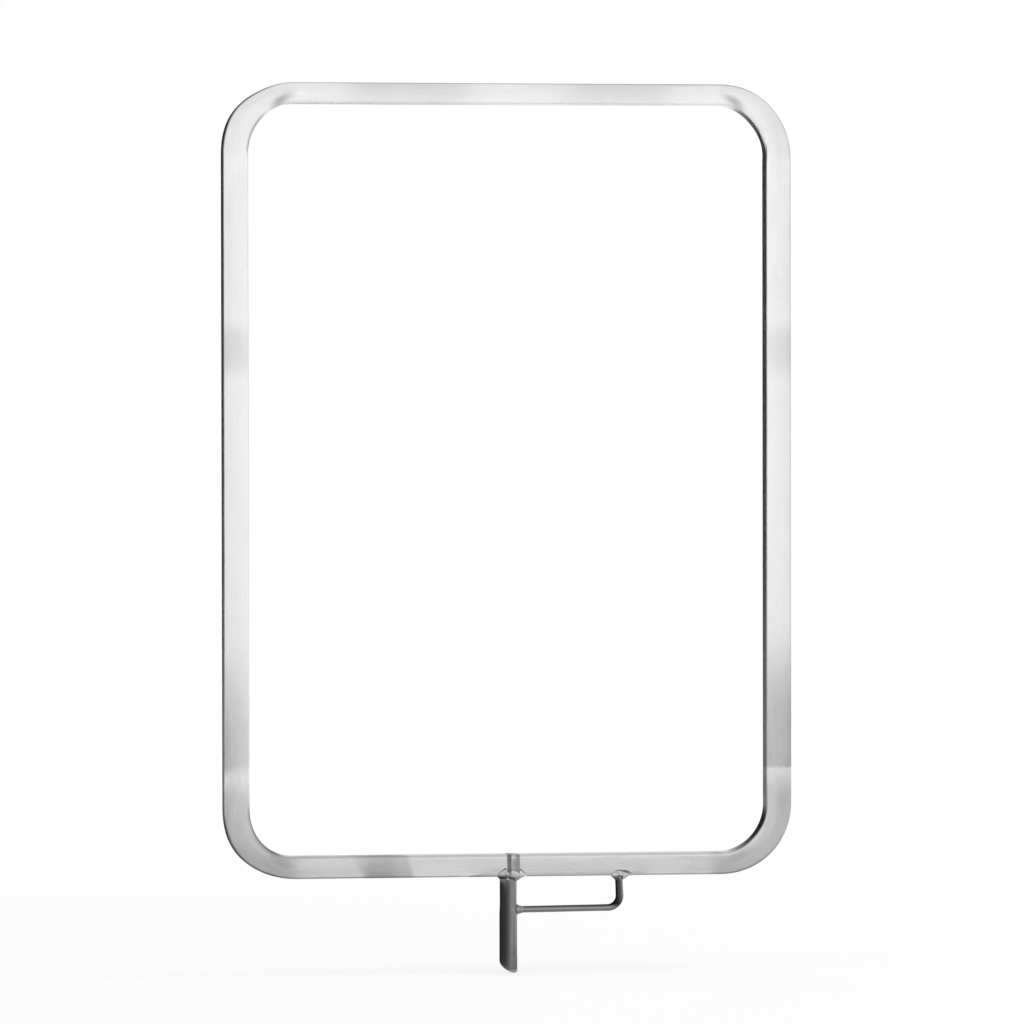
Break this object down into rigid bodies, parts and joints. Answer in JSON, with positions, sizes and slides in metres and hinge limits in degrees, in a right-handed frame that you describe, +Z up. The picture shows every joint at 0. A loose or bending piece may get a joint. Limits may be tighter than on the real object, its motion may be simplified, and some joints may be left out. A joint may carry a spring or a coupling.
{
  "type": "flag frame",
  "caption": "Open rectangular flag frame of bent square steel tube with a slanted mounting pin and a thin L-shaped brace rod.",
  "frame": {"origin": "on the mounting pin's axis, halfway down the pin's free end", "axes": "+Z up along the pin towards the frame's top, +X to the right along the frame's width on the brace's side, +Y to the back"},
  "size_m": [0.3048, 0.0144, 0.4735],
  "materials": {
    "tube_steel": "satin mill finish with soft reflections",
    "pin_steel": "smooth drawn bar",
    "weld_steel": "as welded, brushed clean"
  },
  "bodies": {
    "root": {"frame_tube": "tube_steel", "frame_seam_weld": "weld_steel", "mounting_pin": "pin_steel", "brace_rod": "pin_steel", "pin_weld": "weld_steel", "brace_frame_weld": "weld_steel", "brace_pin_weld": "weld_steel"}
  },
  "joints": []
}
